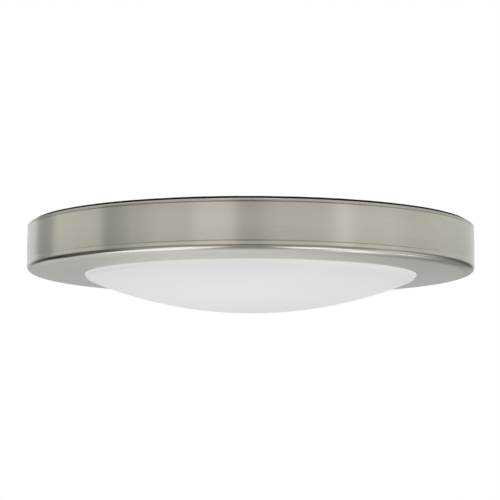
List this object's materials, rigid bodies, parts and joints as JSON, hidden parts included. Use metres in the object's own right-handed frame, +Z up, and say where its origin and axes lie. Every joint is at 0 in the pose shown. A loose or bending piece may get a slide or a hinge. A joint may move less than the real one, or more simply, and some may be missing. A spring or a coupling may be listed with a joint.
{
  "type": "led disk light",
  "caption": "Round flush ceiling light: brushed metal trim with a wide face ring, white opal dome lens, LED board inside, and a twist-lock plate for a ceiling box.",
  "frame": {"origin": "centre of the mounting plate's upper face, on the ceiling plane", "axes": "+Z up through the ceiling along the light's axis, +X along the line of the box-screw slots"},
  "size_m": [0.19, 0.19, 0.0367],
  "materials": {
    "brushed_nickel": "satin nickel plate, brushed round the axis",
    "opal_lens": "white opal diffuser, satin",
    "white_silicone": "soft white silicone",
    "white_moulding": "white diffuse reflector plastic",
    "sheet_aluminium": "mill-finish aluminium sheet",
    "zinc_screw": "clear zinc plate",
    "grey_pad": "grey thermal pad",
    "white_board": "aluminium core with white solder mask",
    "led_white": "white LED package",
    "led_yellow": "yellow phosphor",
    "black_moulding": "black epoxy moulding",
    "can_sleeve": "dark sleeve on an aluminium can",
    "blue_coat": "blue epoxy coat",
    "fuse_tube": "ceramic tube with tinned caps",
    "black_rubber": "black rubber",
    "tinned_brass": "tinned brass",
    "black_foam": "closed-cell foam",
    "galvanised": "galvanised steel sheet",
    "green_screw": "green passivated steel"
  },
  "bodies": {
    "ceiling_plate": {"mounting_plate": "galvanised", "ground_screw": "green_screw", "ground_washer": "zinc_screw"},
    "fixture": {"trim_shell": "brushed_nickel", "shell_posts": "zinc_screw", "lens_gasket": "white_silicone", "lens": "opal_lens", "reflector_ring": "white_moulding", "heat_sink": "sheet_aluminium", "heat_sink_screws": "zinc_screw", "thermal_pad": "grey_pad", "led_board": "white_board", "led_packages": "led_white", "led_phosphor": "led_yellow", "board_screws": "zinc_screw", "terminal_block": "white_moulding", "bridge_rectifier": "black_moulding", "driver_chips": "black_moulding", "capacitors": "can_sleeve", "varistor": "blue_coat", "fuse": "fuse_tube", "resistors": "black_moulding", "driver_cover": "white_moulding", "cover_screws": "zinc_screw", "lead_grommet": "black_rubber", "earth_tab": "tinned_brass", "foam_strip": "black_foam", "bayonet_studs": "zinc_screw"}
  },
  "joints": [
    {"name": "twist_lock", "type": "hinge", "parent": "ceiling_plate", "child": "fixture", "pos_m": [0, 0, 0], "axis": [0, 0, -1], "range_deg": [0, 18]}
  ]
}
